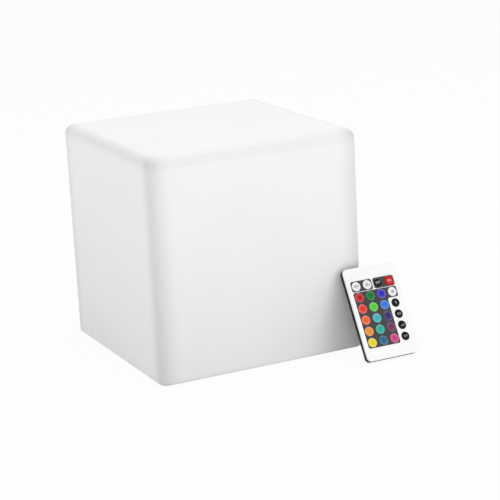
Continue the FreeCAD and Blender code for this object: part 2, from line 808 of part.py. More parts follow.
def board_chips():
    """Two flat chips and a capacitor on the control board."""
    body = new_body("board_chips")
    lines = sketch(body, "XY_Plane", z=CONTROL_TOP)
    for x, y, wide, deep in (
            ("control_x - main_chip_x", "control_y - main_chip_y",
             "main_chip_side", "main_chip_side"),
            ("control_x + side_chip_x", "control_y - side_chip_y",
             "side_chip_wide", "side_chip_deep")):
        rectangle(lines, f"{x} - {wide} / 2", f"{x} + {wide} / 2",
                  f"{y} - {deep} / 2", f"{y} + {deep} / 2")
    pad(body, lines, "small_chip_tall")
    lines = sketch(body, "XY_Plane", z=CONTROL_TOP)
    circle(lines, "capacitor_across / 2", "control_x + capacitor_x",
           "control_y - capacitor_y")
    pad(body, lines, "capacitor_tall")
    return body


def tact_switch():
    body = new_body("tact_switch")
    lines = sketch(body, "XY_Plane", z=SWITCH_LOW)
    half = "switch_wide / 2"
    rectangle(lines, f"button_x - {half}", f"button_x + {half}",
              f"button_y - {half}", f"button_y + {half}")
    pad(body, lines, "switch_tall")
    lines = sketch(body, "XY_Plane", z=SWITCH_LOW)
    circle(lines, "plunger_across / 2 + bore_gap", "button_x", "button_y")
    pocket(body, lines, "plunger_hold + button_travel + bore_gap")
    return body


def switch_plunger():
    body = new_body("switch_plunger")
    lines = sketch(body, "XY_Plane", z=BUTTON_TOP)
    circle(lines, "plunger_across / 2", "button_x", "button_y")
    pad(body, lines, f"{SWITCH_LOW} + plunger_hold - {BUTTON_TOP}")
    return body


def power_button():
    cap, lip = "button_across / 2", "(button_across / 2 + button_lip)"
    low = f"({COVER_LOW} - button_proud)"
    return turned("power_button", [("0", low), (f"{cap} - button_bevel", low),
                                   (cap, f"{low} + button_bevel"), (cap, COVER_TOP),
                                   (lip, COVER_TOP), (lip, BUTTON_TOP), ("0", BUTTON_TOP)],
                  "button_x", "button_y")


def charge_socket():
    """A round socket held in the cover by its flange and a nut, with a pin in its bore."""
    across, bore, pin = "socket_across / 2", "socket_bore / 2", "socket_pin / 2"
    bottom = f"({SOCKET_LOW} + socket_bore_deep)"
    thread_top = f"{COVER_TOP} + nut_thick + thread_over"
    pin_low = f"{SOCKET_LOW} + flap_plug_tall + flap_gap"
    return turned("charge_socket", [("0", pin_low), (pin, pin_low), (pin, bottom),
                                    (bore, bottom), (bore, SOCKET_LOW),
                                    ("socket_flange / 2", SOCKET_LOW),
                                    ("socket_flange / 2", COVER_LOW), (across, COVER_LOW),
                                    (across, thread_top), (f"{across} - thread_step", thread_top),
                                    (f"{across} - thread_step", SOCKET_TOP), ("0", SOCKET_TOP)],
                  "socket_x", "socket_y")


def socket_nut():
    body = new_body("socket_nut")
    corner = "(nut_flats / 2 / cos(30 deg))"
    lines = sketch(body, "XY_Plane", z=COVER_TOP)
    closed(lines, [(f"{corner} * cos({60 * i} deg)", f"{corner} * sin({60 * i} deg)")
                   for i in range(6)])
    circle(lines, "socket_across / 2 + bore_gap")
    pad(body, lines, "nut_thick")
    return move(body, "socket_x", "socket_y")


def port_flap():
    """A round flap that swings on a pin and plugs the socket's bore."""
    body = new_body("port_flap")
    lines = sketch(body, "XY_Plane", z=FLAP_LOW)
    circle(lines, "flap_across / 2", "socket_x", "socket_y")
    pad(body, lines, "flap_thick")
    lines = sketch(body, "XY_Plane", z=FLAP_LOW)
    rectangle(lines, "socket_x - barrel_long / 2", "socket_x + barrel_long / 2",
              FLAP_AXIS_Y, "socket_y - flap_across / 4")
    pad(body, lines, "flap_thick")
    lines = sketch(body, "XY_Plane", z=FLAP_TOP)
    circle(lines, "flap_plug / 2", "socket_x", "socket_y")
    pad(body, lines, "flap_gap + flap_plug_tall")
    lines = sketch(body, "YZ_Plane", z="socket_x - barrel_long / 2")
    circle(lines, "barrel_across / 2", FLAP_AXIS_Y, FLAP_AXIS_Z)
    pad(body, lines, "barrel_long")
    lines = sketch(body, "YZ_Plane", z="socket_x - barrel_long / 2")
    circle(lines, "pin_across / 2 + bore_gap / 2", FLAP_AXIS_Y, FLAP_AXIS_Z)
    pocket(body, lines, "barrel_long")
    return body


def flap_pin():
    body = new_body("flap_pin")
    lines = sketch(body, "YZ_Plane", z="socket_x - barrel_long / 2 - lug_gap - lug_wide")
    circle(lines, "pin_across / 2", FLAP_AXIS_Y, FLAP_AXIS_Z)
    pad(body, lines, "barrel_long + 2 * (lug_gap + lug_wide)")
    return body


def battery_leads():
    start = "-(cell_long / 2 + cell_nub)"
    rear = f"{BOARD_REAR} - lead_inset"
    routes = []
    for side, rise, out, end in (("-", "cell_lead_low", "cell_lead_far", "far_landing"),
                                 ("+", "cell_lead_high", "cell_lead_near", "near_landing")):
        y, z = f"{CELLS_Y} {side} {CELL_PITCH} / 2", f"{CELL_Z} + {rise}"
        x, landing = f"{start} - {out}", f"control_x - {end}"
        routes.append([(start, y, z), (x, y, z), (x, rear, z), (landing, rear, z),
                       (landing, rear, CONTROL_TOP)])
    return leads("battery_leads", *routes)


def led_leads():
    rear = f"{BOARD_REAR} - lead_inset"
    routes = []
    for wire in range(4):
        x = f"control_x + {wire} * lamp_lead_pitch - lamp_lead_first"
        front = f"{rear} - lamp_lead_back"
        routes.append([(x, rear, CONTROL_TOP), (x, rear, f"{CONTROL_TOP} + lamp_lead_rise"),
                       (x, front, f"{LAMP_LOW} - lamp_lead_drop"), (x, front, LAMP_LOW)])
    return leads("led_leads", *routes)


def socket_leads():
    routes = []
    end_x = "control_x + control_wide / 2 - socket_lead_inset"
    for begin_x, along_y, rise in (
            ("socket_x - left_lead_x", "socket_y + left_lead_y", "left_lead_rise"),
            ("socket_x + right_lead_x", "socket_y - right_lead_y", "right_lead_rise")):
        high = f"{SOCKET_TOP} + {rise}"
        routes.append([(begin_x, along_y, SOCKET_TOP), (begin_x, along_y, high),
                       (end_x, along_y, high), (end_x, along_y, CONTROL_TOP)])
    return leads("socket_leads", *routes)


# ---------------------------------------------------------------- remote control
# Drawn flat: X across, Y from the lower short edge up, Z out of the face, and then leaned.

LEAN = "(remote_lean * 1 deg)"
EDGE_LOSS = f"(remote_edge * (sin({LEAN}) + cos({LEAN}) - 1))"


def lean(item):
    """Stand a flat-drawn remote piece against the cube's front face."""
    item.Placement = FreeCAD.Placement(V(0, 0, 0), FreeCAD.Rotation(V(1, 0, 0), 60))
    bind(item, Placement__Rotation__Angle="90 - remote_lean")
    reach = f"remote_long * sin({LEAN}) - {EDGE_LOSS}"
    return move(item, REMOTE_LEFT, f"-cube_side / 2 - lean_gap - {reach}",
                f"-{EDGE_LOSS}")


def inset_outline(lines, inset):
    """The remote's outline, drawn in by an inset."""
    rounded(lines, inset, f"remote_wide - {inset}", inset, f"remote_long - {inset}",
            f"(remote_corner - {inset} * 0.9)")


KEY_ROWS = (("key_brighter", "key_dimmer", "key_off", "key_on"),
            ("key_red", "key_green", "key_blue", "key_white"),
            ("key_orange_red", "key_light_green", "key_sky_blue", "key_flash"),
            ("key_orange", "key_cyan", "key_violet", "key_strobe"),
            ("key_amber", "key_teal", "key_plum", "key_fade"),
            ("key_yellow", "key_petrol", "key_pink", "key_smooth"))
DARK_KEYS = ("key_off", "key_flash", "key_strobe", "key_fade", "key_smooth")
SQUARE_KEYS = ("key_on",)
KEYS = [(name, f"key_first_x + {column} * key_pitch_x",
         f"remote_long - key_first_y - {row} * key_pitch_y")
        for row, names in enumerate(KEY_ROWS) for column, name in enumerate(names)]


def key_radius(name):
    return "(dark_key_across / 2)" if name in DARK_KEYS else "(key_across / 2)"


def key_outline(lines, name, x, y, extra="0"):
    """A key's outline about x, y, made larger all round by an extra."""
    half = f"({key_radius(name)} + {extra})"
    if name in SQUARE_KEYS:
        rounded(lines, f"{x} - {half}", f"{x} + {half}", f"{y} - {half}", f"{y} + {half}",
                f"(square_corner + {extra})")
    else:
        circle(lines, half, x, y)


def key_grid(body, low, depth, extra):
    """All 24 key outlines at once, cut upwards from a level."""
    lines = sketch(body, "XY_Plane", z=low)
    for name, x, y in KEYS:
        key_outline(lines, name, x, y, extra)
    return pocket(body, lines, depth)


def remote_back_shell():
    body = new_body("remote_back_shell")
    lines = sketch(body, "XY_Plane")
    inset_outline(lines, "0")
    pad(body, lines, "tub_tall")
    round_edges(body, "remote_edge", level_edge("0"))
    lines = sketch(body, "XY_Plane", z="tub_floor")
    inset_outline(lines, "tub_wall")
    pocket(body, lines, "tub_tall - tub_floor")
    lines = sketch(body, "XY_Plane", z="tub_tall")
    inset_outline(lines, "(front_rim + clip_gap)")
    inset_outline(lines, "tub_wall")
    pad(body, lines, "clip_tall")
    lines = sketch(body, "XY_Plane", z="tub_floor")
    corner = "(remote_corner + pillar_gap)"
    for x in (corner, f"remote_wide - {corner}"):
        for y in (f"{RAIL_END} + pillar_gap", f"remote_long - {corner}"):
            circle(lines, "pillar_across / 2", x, y)
    pad(body, lines, f"{CIRCUIT_LOW} - tub_floor")
    near, far = "(tray_wide / 2 + coin_gap)", "(tray_wide / 2 + coin_gap + rail_wide)"
    lines = sketch(body, "XY_Plane", z="tub_floor")
    rectangle(lines, f"{TRAY_MIDDLE} - {far}", f"{TRAY_MIDDLE} - {near}", "tub_wall", RAIL_END)
    rectangle(lines, f"{TRAY_MIDDLE} + {near}", f"{TRAY_MIDDLE} + {far}", "tub_wall", RAIL_END)
    rectangle(lines, f"{TRAY_MIDDLE} - {near} + 1", f"{TRAY_MIDDLE} + {near} - 1",
              f"{RAIL_END} - rail_wide", RAIL_END)
    pad(body, lines, f"{TRAY_TOP} - tub_floor")
    slot = sketch(body, "XZ_Plane")
    rectangle(slot, f"{TRAY_MIDDLE} - {near}", f"{TRAY_MIDDLE} + {near}",
              "tub_floor", CIRCUIT_LOW)
    pocket(body, slot, "tub_wall", False)
    window = sketch(body, "XZ_Plane", z="-remote_long")
    circle(window, "emitter_across / 2 + bore_gap", TRAY_MIDDLE, EMITTER_Z)
    pocket(body, window, "tub_wall")
    return lean(body)


def remote_front_shell():
    body = new_body("remote_front_shell")
    lines = sketch(body, "XY_Plane", z="tub_tall")
    inset_outline(lines, "0")
    pad(body, lines, "front_rim_tall + front_thick")
    round_edges(body, "front_edge", level_edge(PLATE_TOP))
    lines = sketch(body, "XY_Plane", z="tub_tall")
    inset_outline(lines, "front_rim")
    pocket(body, lines, "front_rim_tall")
    key_grid(body, PLATE_LOW, "front_thick", "bore_gap")
    return lean(body)


def key_panel():
    """Three thin dark overlays: two over key pairs, one L-shaped round the colour keys."""
    body = new_body("key_panel")
    lines = sketch(body, "XY_Plane", z=PLATE_TOP)

    def x(column, side):
        return f"key_first_x + {column} * key_pitch_x {side} panel_margin"

    def y(row, side):
        return f"remote_long - key_first_y - {row} * key_pitch_y {side} panel_margin"
    rectangle(lines, x(0, "-"), x(1, "+"), y(0, "-"), y(0, "+"))
    rectangle(lines, x(2, "-"), x(3, "+"), y(0, "-"), y(0, "+"))
    closed(lines, [(x(0, "-"), y(5, "-")), (x(2, "+"), y(5, "-")), (x(2, "+"), y(1, "-")),
                   (x(3, "+"), y(1, "-")), (x(3, "+"), y(1, "+")), (x(0, "-"), y(1, "+"))])
    pad(body, lines, "panel_thick")
    round_edges(body, "panel_corner", upright_edge)
    lines = sketch(body, "XY_Plane", z=PLATE_TOP)
    for name, place_x, place_y in KEYS:
        if name not in DARK_KEYS[1:]:
            key_outline(lines, name, place_x, place_y, "hole_gap")
    pocket(body, lines, "panel_thick")
    return lean(body)


def keypad_mat():
    body = new_body("keypad_mat")
    lines = sketch(body, "XY_Plane", z=CIRCUIT_TOP)
    inset_outline(lines, "mat_inset")
    pad(body, lines, "mat_thick")
    key_grid(body, CIRCUIT_TOP, "mat_thick", "(key_lip + hole_gap)")
    return lean(body)


def remote_board():
    body = new_body("remote_board")
    lines = sketch(body, "XY_Plane", z=CIRCUIT_LOW)
    inset_outline(lines, "(tub_wall + circuit_gap)")
    pad(body, lines, "circuit_thick")
    return lean(body)


def contact_domes():
    body = new_body("contact_domes")
    lines = sketch(body, "XY_Plane", z=CIRCUIT_TOP)
    for name, x, y in KEYS:
        circle(lines, "dome_contact / 2", x, y)
    pad(body, lines, "dome_contact_thick")
    return lean(body)


def ir_emitter():
    body = new_body("ir_emitter")
    lines = sketch(body, "XZ_Plane", z="-remote_long")
    circle(lines, "emitter_across / 2", TRAY_MIDDLE, EMITTER_Z)
    pad(body, lines, "emitter_long")
    return lean(body)


def battery_tray():
    body = new_body("battery_tray")
    lines = sketch(body, "XY_Plane", z=TRAY_LOW)
    rectangle(lines, f"{TRAY_MIDDLE} - tray_wide / 2", f"{TRAY_MIDDLE} + tray_wide / 2",
              "0", "tray_long")
    pad(body, lines, f"{TRAY_TOP} - {TRAY_LOW}")
    lines = sketch(body, "XY_Plane", z=f"{TRAY_LOW} + tray_skin")
    circle(lines, "coin_across / 2 + coin_gap", TRAY_MIDDLE, "tray_long / 2")
    pocket(body, lines, f"{TRAY_TOP} - {TRAY_LOW}")
    return lean(body)


def coin_cell():
    body = new_body("coin_cell")
    lines = sketch(body, "XY_Plane", z=f"{TRAY_LOW} + tray_skin")
    circle(lines, "coin_across / 2", TRAY_MIDDLE, "tray_long / 2")
    pad(body, lines, "coin_thick")
    return lean(body)


def remote_key(name, x, y):
    """A key cap that shows through the front shell, on a wider lip that stays under it."""
    body = new_body(name)
    lines = sketch(body, "XY_Plane", z=KEY_LOW)
    key_outline(lines, name, x, y, "key_lip")
    pad(body, lines, "key_lip_thick")
    lines = sketch(body, "XY_Plane", z=PLATE_LOW)
    key_outline(lines, name, x, y)
    pad(body, lines, "front_thick + key_proud")
    round_edges(body, "key_edge", level_edge(KEY_TOP))
    return lean(body)


# ---------------------------------------------------------------- the whole light

PIECES = [cube_shell(), shell_inserts(), base_gasket(), base_cover(), cover_screws(),
          lens_dome(), dome_seal(), dome_screws(), led_board(), led_chips(), ir_receiver(),
          battery_cells(), battery_clamp(), pan_screws("clamp_screws", f"{CLAMP_LOW} + clamp_thick",
                                                       clamp_places()),
          control_board(), board_chips(), pan_screws("board_screws", CONTROL_TOP,
                                                     control_corners()),
          tact_switch(), switch_plunger(), power_button(), charge_socket(), socket_nut(),
          port_flap(), flap_pin(), battery_leads(), led_leads(), socket_leads(),
          remote_back_shell(), remote_front_shell(), key_panel(), keypad_mat(), remote_board(),
          contact_domes(), ir_emitter(), battery_tray(), coin_cell()]
PIECES += [remote_key(*key) for key in KEYS]
doc.recompute()

for item in doc.Objects:
    if {"Invalid", "Error"} & set(item.State):
        raise RuntimeError(f"{item.Label} failed: {item.State}")
for piece in PIECES:
    if piece.Shape.isNull() or not piece.Shape.isValid():
        raise RuntimeError(f"{piece.Label} has no valid shape")
os.makedirs("parts", exist_ok=True)
for piece in PIECES:
    piece.Shape.exportStep(f"parts/{piece.Label}.step")
    box = piece.Shape.BoundBox
    print(f"{piece.Label}: {len(piece.Shape.Solids)} solids, {piece.Shape.Volume:.0f} cubic mm, "
          f"z {box.ZMin:.2f} to {box.ZMax:.2f}")
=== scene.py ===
# %% [markdown]
# # A cube light and its key-pad remote, dressed in Blender
#
# The real object is a cube of milky polyethylene, moulded in one piece, that a lamp module in
# its base lights from inside. A thin plastic remote with rubber keys leans on it. The
# construction is a fixed frame of solids. This lesson gives each solid its finish and adds what
# moulding and printing leave on the real pieces: crowned keys, their pictograms, the push
# button's symbol, and the ribs and arrow on the back of the remote.

# %% The frame and its size
import json
import math
import bpy
import numpy as np
from mathutils import Matrix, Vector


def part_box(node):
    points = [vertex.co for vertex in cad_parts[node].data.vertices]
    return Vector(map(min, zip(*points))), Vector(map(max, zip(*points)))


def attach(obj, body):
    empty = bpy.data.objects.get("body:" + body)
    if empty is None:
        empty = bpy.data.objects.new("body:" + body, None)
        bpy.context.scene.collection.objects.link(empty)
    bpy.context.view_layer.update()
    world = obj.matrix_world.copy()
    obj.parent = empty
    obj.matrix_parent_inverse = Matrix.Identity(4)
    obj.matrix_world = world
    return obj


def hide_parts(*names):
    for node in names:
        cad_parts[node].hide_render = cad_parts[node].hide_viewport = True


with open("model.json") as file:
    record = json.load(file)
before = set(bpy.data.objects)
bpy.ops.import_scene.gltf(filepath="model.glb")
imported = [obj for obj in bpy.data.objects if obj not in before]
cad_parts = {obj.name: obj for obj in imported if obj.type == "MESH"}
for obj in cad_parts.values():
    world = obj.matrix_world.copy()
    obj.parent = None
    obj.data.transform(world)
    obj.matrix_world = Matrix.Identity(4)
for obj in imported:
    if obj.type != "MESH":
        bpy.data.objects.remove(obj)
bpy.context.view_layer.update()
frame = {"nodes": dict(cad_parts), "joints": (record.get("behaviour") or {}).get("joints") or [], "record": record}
MM = 0.001
print("pieces in the frame:", len(frame["nodes"]))

# %% [markdown]
# ## The camera
#
# The photograph looks down a little on a vertical edge, with the wide face to the right, and
# it is turned by three degrees in its frame. A long lens keeps the upright edges nearly
# parallel. The camera's three axes are written out from its angles, which is surer than
# turning it by hand.

# %% The camera
CAMERA_PLACE = (-0.6649, -1.4680, 0.5162)
CAMERA_TURN, CAMERA_DIP, CAMERA_ROLL = (math.radians(a) for a in (25.58, 15.06, -2.98))
CAMERA_LENS = 130.95


def camera_axes(turn, dip, roll):
    """Right, up and backward: the level right-hand axis and its up, then both rolled."""
    ahead = np.array([math.sin(turn) * math.cos(dip), math.cos(turn) * math.cos(dip),
                      -math.sin(dip)])
    level = np.array([math.cos(turn), -math.sin(turn), 0.0])
    upright = np.cross(level, ahead)
    right = math.cos(roll) * level + math.sin(roll) * upright
    up = math.cos(roll) * upright - math.sin(roll) * level
    return right, up, -ahead


def placed(right, up, back, place):
    """The matrix of an object with these three axes at a place."""
    columns = np.eye(4)
    columns[:3, :3] = np.array([right, up, back]).T
    columns[:3, 3] = place
    return Matrix(columns.tolist())


def add_object(name, data):
    """An object of its data, linked into the scene."""
    made = bpy.data.objects.new(name, data)
    bpy.context.scene.collection.objects.link(made)
    return made


def add_camera():
    """The scene's camera, at the photograph's viewing angle."""
    data = bpy.data.cameras.new("camera")
    data.lens = CAMERA_LENS
    camera = add_object("camera", data)
    camera.matrix_world = placed(*camera_axes(CAMERA_TURN, CAMERA_DIP, CAMERA_ROLL),
                                 CAMERA_PLACE)
    bpy.context.scene.camera = camera


add_camera()
print("camera at", CAMERA_PLACE)

# %% [markdown]
# ## Shader maths as Python
#
# A pattern such as "darker near the edges" is a small formula on the point's position. Wiring
# it node by node hides the formula, so one class wraps a socket and lets Python's operators
# add the Math nodes. Every other node comes from one method.

# %% Sockets that can be added and multiplied


class Number:
    """A number that changes over a surface: operators on it add Math nodes."""

    def __init__(self, tree, socket):
        self.tree, self.socket = tree, socket

    def maths(self, operation, *others):
        made = self.tree.node("ShaderNodeMath", {"operation": operation},
                              {i: value for i, value in enumerate((self, *others))})
        return Number(self.tree, made.outputs[0])

    def __add__(self, other): return self.maths("ADD", other)
    def __mul__(self, other): return self.maths("MULTIPLY", other)
    def __rsub__(self, other): return (self * -1.0) + other

    def spread(self, low, high):
        """Low where this number is 0, high where it is 1."""
        return self * (high - low) + low

    def between(self, low, high):
        """0 below low, 1 above high, and an S curve from one to the other."""
        made = self.tree.node("ShaderNodeMapRange", {"interpolation_type": "SMOOTHSTEP"},
                              {"Value": self, "From Min": low, "From Max": high})
        return Number(self.tree, made.outputs["Result"])


class Finish:
    """One material: its node tree, its main shader and the nodes that feed it."""

    def __init__(self, name, **fixed):
        self.material = bpy.data.materials.new(name)
        self.material.use_nodes = True
        self.nodes, self.links = (self.material.node_tree.nodes, self.material.node_tree.links)
        self.shader = next(n for n in self.nodes if n.type == "BSDF_PRINCIPLED")
        self.place = self.node("ShaderNodeTexCoord").outputs["Object"]
        for socket, value in fixed.items():
            self.shader.inputs[socket.replace("_", " ")].default_value = value

    def node(self, kind, settings=None, values=None):
        """A node of a kind: its settings first, then the values or links of its sockets."""
        made = self.nodes.new(kind)
        for name, value in (settings or {}).items():
            setattr(made, name, value)
        for name, value in (values or {}).items():
            self.feed(made.inputs[name], value)
        return made

    def feed(self, socket, value):
        """Link a socket to another one, or set its value."""
        if isinstance(value, Number):
            value = value.socket
        if isinstance(value, bpy.types.NodeSocket):
            self.links.new(value, socket)
        else:
            socket.default_value = value

    def axis(self, index):
        """The point's X, Y or Z in metres."""
        split = self.node("ShaderNodeSeparateXYZ", None, {0: self.place})
        return Number(self, split.outputs[index])

    def noise(self, scale, detail=3.0, stretch=None):
        """Cloudy noise from 0 to 1, with scale cells to the metre."""
        place = self.place
        if stretch:
            place = self.node("ShaderNodeMapping", None, {0: place, "Scale": stretch}).outputs[0]
        made = self.node("ShaderNodeTexNoise", None,
                         {"Vector": place, "Scale": scale, "Detail": detail})
        return Number(self, made.outputs[0])

    def far(self, point):
        """Distance from a fixed point, in metres."""
        made = self.node("ShaderNodeVectorMath", {"operation": "DISTANCE"},
                         {0: self.place, 1: tuple(point)})
        return Number(self, made.outputs["Value"])

    def blend(self, factor, first, second):
        """A colour between two colours."""
        made = self.node("ShaderNodeMix", {"data_type": "RGBA"},
                         {"Factor": factor, 6: first, 7: second})
        return made.outputs[2]

    def paint(self, **inputs):
        """Feed the main shader's inputs by name."""
        for name, value in inputs.items():
            self.feed(self.shader.inputs[name.replace("_", " ")], value)

    def bump(self, height, depth):
        """Raise and sink the surface by a number times a depth in metres."""
        made = self.node("ShaderNodeBump", None, {"Height": height, "Distance": depth})
        self.paint(Normal=made.outputs[0])


def tone(red, green, blue):
    """A colour written as it looks on a screen, from 0 to 255, made linear for the shader."""
    seen = np.array([red, green, blue]) / 255
    linear = np.where(seen <= 0.04045, seen / 12.92, ((seen + 0.055) / 1.055) ** 2.4)
    return (*linear.tolist(), 1.0)


def shade(colour, factor):
    """The same colour, lighter or darker."""
    return (*(min(1.0, part * factor) for part in colour[:3]), 1.0)


# %% [markdown]
# ## Milky polyethylene
#
# Rotational moulding leaves a wall that scatters light. The faces look even. Shade is painted
# into the wall's colour: the upright edges and the rounded upper ones are painted a little darker,
# which also dims the highlight on the upper ones, and the lower part is painted greyer. This
# painted shade is a formula on where a point is on the cube, in Object coordinates. A faint
# orange-peel from the mould goes in the bump.

# %% The cube's finish
HALF_SIDE = 0.1
CUBE_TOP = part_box("cube_shell")[1].z
# Widths and strengths of the painted shade at the upright edges, the upper band and lower down.
EDGE_BAND, EDGE_PAINTED_SHADE = 0.022, 0.42
TOP_BAND, TOP_PAINTED_SHADE = 0.013, 0.40
SHADE_STARTS, SHADE_GREY = -0.12, 0.50
CLOUDS, CLOUD_LOW, CLOUD_HIGH, CLOUD_GREY = 14.0, 0.25, 0.75, 0.04
PEEL, PEEL_DEPTH = 900.0, 0.06 * MM
# WALL_DARK is where the painted shade leads, and a little of the random clouds.
WALL_LIGHT, WALL_DARK = tone(250, 250, 250), tone(196, 197, 198)


def near_side(square, band):
    """1 at the cube's side, 0 further in than a band, from a coordinate's square."""
    return square.between((HALF_SIDE - band) ** 2, HALF_SIDE ** 2)


def milky_wall():
    """The cube's wall: light in its middle, with painted shade that makes it darker at its edges and lower down.
    """
    skin = Finish("milky_wall", Roughness=0.38)
    x, y, z = (skin.axis(i) for i in range(3))
    # Painted shade: the upright edges, the rounded upper edges and the lower part are painted darker.
    upright_edge_shade = near_side(x * x, EDGE_BAND) * near_side(y * y, EDGE_BAND)
    farther = (x * x).maths("MAXIMUM", y * y)
    upper_edge_shade = z.between(CUBE_TOP - TOP_BAND, CUBE_TOP) * near_side(farther, TOP_BAND)
    below = 1 - z.between(SHADE_STARTS, CUBE_TOP)
    grey = upright_edge_shade * EDGE_PAINTED_SHADE + upper_edge_shade * TOP_PAINTED_SHADE + below * SHADE_GREY
    clouds = skin.noise(CLOUDS).between(CLOUD_LOW, CLOUD_HIGH) * CLOUD_GREY
    skin.paint(Base_Color=skin.blend(grey + clouds, WALL_LIGHT, WALL_DARK))
    skin.bump(skin.noise(PEEL, detail=2.0), PEEL_DEPTH)
    return skin.material


# %% [markdown]
# ## The other finishes
#
# Moulded plastic, rubber, metal and printed board differ in gloss, grain and how dirt and
# handling show. One recipe for each family takes a colour, so that sixty nodes share a few
# well-made recipes. Patterns are sized in cells to the metre: 500 makes specks of two
# millimetres, and 2500 a grain that is only felt as a soft gloss.

# %% Recipes for plastic, rubber, metal and board
PATCHES, PATCH_DARK, PATCH_LIGHT, PATCH_ROUGH = 60.0, 0.93, 1.04, 0.06
SPECKS, DUST_STARTS, DUST_FULL = 500.0, 0.55, 0.8
DUST, DUST_COVER, DUST_ROUGH = tone(205, 205, 205), 0.03, 0.15
RUBBER_GRAIN, RUBBER_DEPTH = 2500.0, 0.01 * MM
# Key caps: a painted highlight that lightens the rim, painted shade on the square key's rim, and a slightly darker
# middle.
RIM_STARTS, RIM_FULL, RIM_PAINTED_HIGHLIGHT, RIM_PAINTED_SHADE, MIDDLE_DARK = 0.35, 1.1, 0.14, 0.5, 0.86
STREAKS, STREAK_DEPTH, MARKS_OF_HANDS, HANDLED, HANDLED_DARK = 900.0, 0.02 * MM, 120.0, 0.4, 0.6
TRACKS, TRACK_LIGHT, TRACK_GAP, TRACK_DEPTH = 260.0, 1.25, 0.02, 0.01 * MM
HAZE, HAZE_DARK = 40.0, 0.94
GEL = 1500.0


def moulded(name, colour, rough=0.45, grain=1400.0, depth=0.03 * MM, shine=0.4):
    """Moulded plastic: a spark-eroded grain, and patches that are a little more polished."""
    skin = Finish(name, Specular_IOR_Level=shine)
    patches = skin.noise(PATCHES)
    skin.paint(Base_Color=skin.blend(patches, shade(colour, PATCH_DARK),
                                     shade(colour, PATCH_LIGHT)),
               Roughness=patches.spread(rough - PATCH_ROUGH, rough + PATCH_ROUGH))
    skin.bump(skin.noise(grain, detail=2.0), depth)
    return skin.material


def silicone(name, colour, rough=0.42):
    """Rubber: even colour, dust that gathers faintly, and a soft waxy gloss."""
    skin = Finish(name, Specular_IOR_Level=0.25)
    dust = skin.noise(SPECKS, detail=4.0).between(DUST_STARTS, DUST_FULL)
    skin.paint(Base_Color=skin.blend(dust * DUST_COVER, colour, DUST),
               Roughness=dust.spread(rough, rough + DUST_ROUGH))
    skin.bump(skin.noise(RUBBER_GRAIN, detail=2.0), RUBBER_DEPTH)
    return skin.material


def key_rubber(name, colour, middle, radius, painted_dark_rim):
    """A key cap: its colour a little darker in the middle, and a painted highlight that lightens the rim.

    The square key gets painted shade on its rim instead, so its rim is darker.
    """
    skin = Finish(name, Specular_IOR_Level=0.1)
    # Painted highlight: the rim is blended towards white. On the square key, painted shade darkens the rim
    # instead.
    rim = skin.far(middle).between(radius * RIM_STARTS, radius * RIM_FULL)
    rim_highlight = RIM_PAINTED_HIGHLIGHT * max(colour[:3]) ** 0.5
    painted_rim_colour = (*(part + (1.0 - part) * rim_highlight for part in colour[:3]), 1.0)
    if painted_dark_rim:
        painted_rim_colour = shade(colour, RIM_PAINTED_SHADE)
    skin.paint(Base_Color=skin.blend(rim, shade(colour, MIDDLE_DARK), painted_rim_colour),
               Roughness=skin.noise(SPECKS, detail=4.0).spread(0.16, 0.36))
    skin.bump(skin.noise(RUBBER_GRAIN, detail=2.0), RUBBER_DEPTH)
    return skin.material


def metal(name, colour):
    """Turned metal: fine streaks from the tool, with darker marks of handling."""
    skin = Finish(name, Metallic=1.0)
    streaks = skin.noise(STREAKS, stretch=(1.0, 1.0, 9.0))
    handled = skin.noise(MARKS_OF_HANDS) * HANDLED
    skin.paint(Base_Color=skin.blend(handled, colour, shade(colour, HANDLED_DARK)),
               Roughness=streaks.spread(0.2, 0.4))
    skin.bump(streaks, STREAK_DEPTH)
    return skin.material


def board(name, colour, copper):
    """Lacquered circuit board: a faint grid of tracks under the lacquer."""
    skin = Finish(name, Roughness=0.3, Coat_Weight=0.4, Coat_Roughness=0.15)
    tracks = skin.node("ShaderNodeTexBrick", {"offset": 0.5},
                       {"Vector": skin.place, "Scale": TRACKS, "Color1": colour,
                        "Color2": shade(colour, TRACK_LIGHT), "Mortar": copper,
                        "Mortar Size": TRACK_GAP})
    skin.paint(Base_Color=tracks.outputs[0])
    skin.bump(tracks.outputs[1], TRACK_DEPTH)
    return skin.material


def clear(name, colour):
    """Clear polycarbonate with a slight haze from the mould."""
    skin = Finish(name, Transmission_Weight=0.9, IOR=1.58)
    haze = skin.noise(HAZE)
    skin.paint(Base_Color=skin.blend(haze, colour, shade(colour, HAZE_DARK)),
               Roughness=haze.spread(0.03, 0.11))
    return skin.material


def phosphor():
    """The lamp chips: a yellow gel in a white frame, glowing a little."""
    skin = Finish("phosphor", Roughness=0.2, Emission_Strength=0.6)
    gel = skin.blend(skin.noise(GEL), tone(250, 225, 120), tone(235, 200, 90))
    skin.paint(Base_Color=gel, Emission_Color=gel)
    return skin.material


print("recipes ready")

# %% [markdown]
# ## Which finish goes where
#
# The key colours run from saturated at the top of the pad to mixed hues below, as the lamp's
# colours do. Each key keeps its own colour, so they are a table of names.

